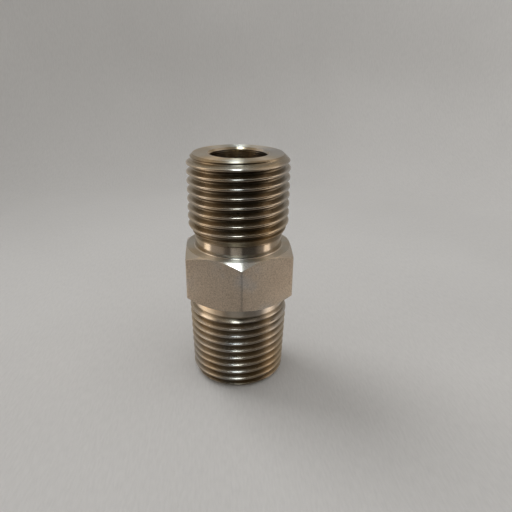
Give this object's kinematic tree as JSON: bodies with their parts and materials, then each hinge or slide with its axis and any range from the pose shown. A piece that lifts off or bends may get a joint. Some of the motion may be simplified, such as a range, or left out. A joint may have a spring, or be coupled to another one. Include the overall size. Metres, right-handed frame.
{
  "type": "hex nipple",
  "caption": "Hex nipple pipe fitting: male parallel thread with a relief groove at the top, male taper thread at the bottom, chamfered hexagon between them and a through bore.",
  "frame": {"origin": "centre of the bottom end face, on the bore axis", "axes": "+Z along the bore from the taper thread to the parallel thread; +X and -X out of two opposite flats of the hexagon, so corners point along +Y and -Y"},
  "size_m": [0.022, 0.0252, 0.0495],
  "materials": {
    "plated_steel": "turned steel with a thin clear to pale gold zinc passivation"
  },
  "bodies": {
    "root": {"nipple_body": "plated_steel"}
  },
  "joints": []
}
